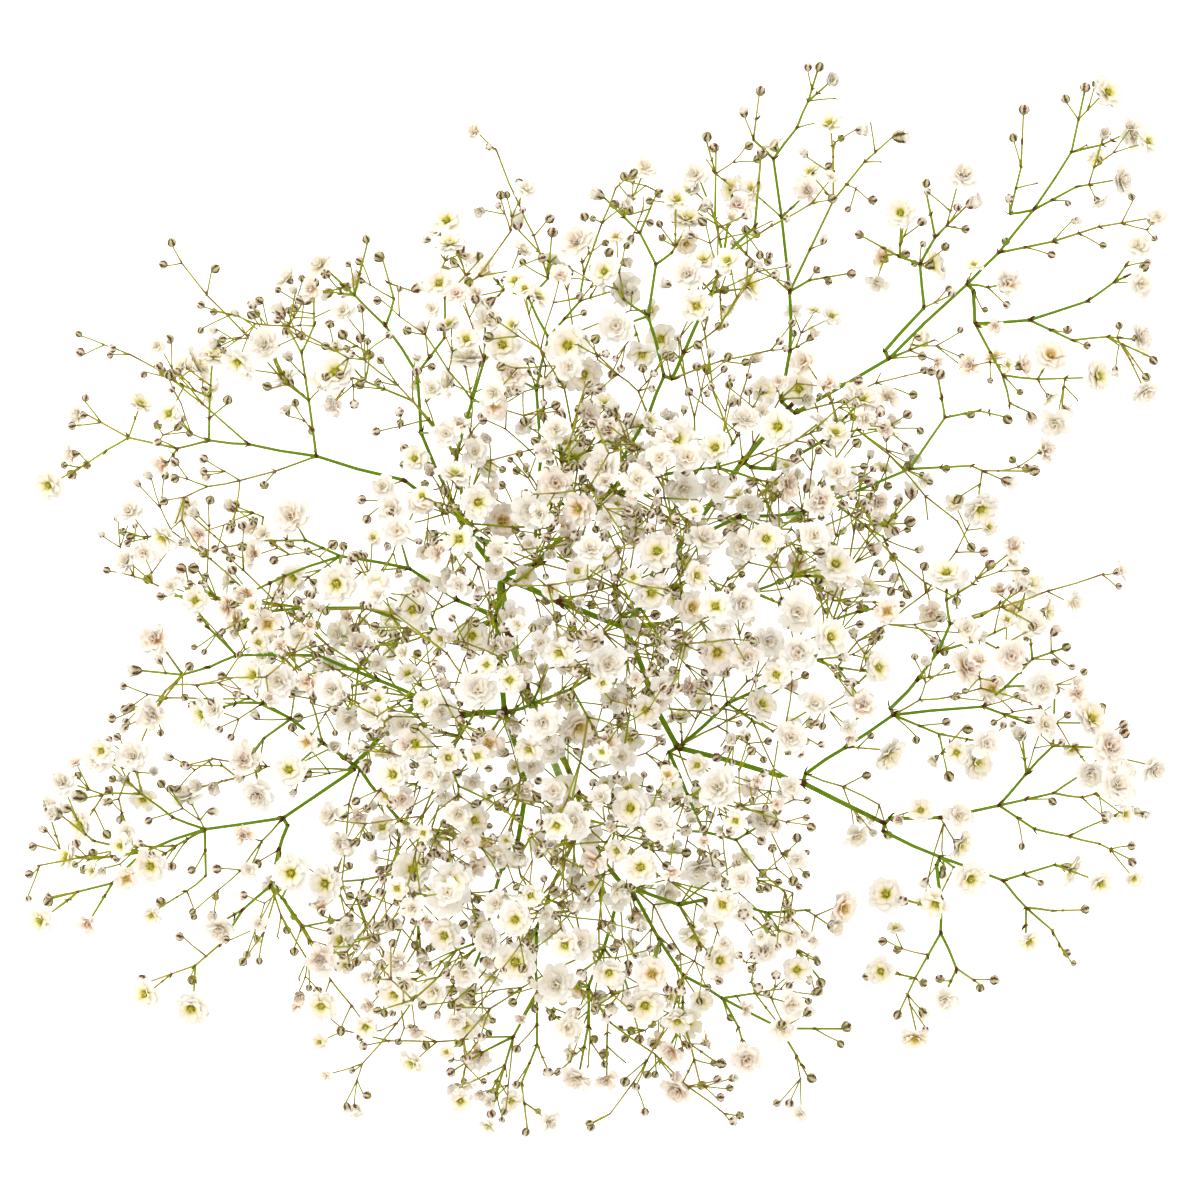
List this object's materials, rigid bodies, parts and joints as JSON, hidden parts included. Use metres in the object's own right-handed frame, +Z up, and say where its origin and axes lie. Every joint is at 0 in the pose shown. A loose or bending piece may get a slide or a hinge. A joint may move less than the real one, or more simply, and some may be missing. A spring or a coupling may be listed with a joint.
{
  "type": "gypsophila stem",
  "caption": "Cut stem of double white gypsophila lying on a surface, its open panicle of thin forked sprays with ruffled blooms and round buds.",
  "frame": {"origin": "on the surface that the stem lies on, under the middle of the spread", "axes": "+Z up from that surface; +X to the right and +Y to the top of the spread as seen from above; the cut end points to -Y"},
  "size_m": [0.291, 0.2745, 0.0845],
  "materials": {
    "stem": "satin green, tan to brown at the forks",
    "petal": "soft matte white with cream shading",
    "calyx": "matte, greenish white with dark brown stripes"
  },
  "bodies": {
    "root": {"main_stem": "stem", "upper_right_spray": "petal", "far_right_spray": "petal", "small_right_spray": "petal", "top_spray": "petal", "north_east_spray": "petal", "upper_middle_spray": "petal", "north_spray": "petal", "north_west_spray": "petal", "inner_north_spray": "petal", "west_upper_spray": "petal", "west_middle_spray": "petal", "west_spray": "petal", "west_lower_spray": "petal", "inner_west_spray": "petal", "south_west_spray": "petal", "south_west_low_spray": "petal", "south_inner_spray": "petal", "south_spray": "petal", "south_middle_spray": "petal", "south_fork_spray": "petal", "south_east_spray": "petal", "inner_east_south_spray": "petal", "south_centre_spray": "petal", "east_spray": "petal", "east_upper_spray": "petal", "far_east_spray": "petal", "south_east_far_spray": "petal", "south_east_low_spray": "petal", "east_middle_spray": "petal", "inner_east_spray": "petal", "east_north_east_spray": "petal", "upper_inner_spray": "petal", "inner_north_east_spray": "petal", "crown_spray": "petal", "centre_spray": "petal", "south_crown_spray": "petal", "south_west_crown_spray": "petal", "centre_north_spray": "petal"}
  },
  "joints": []
}
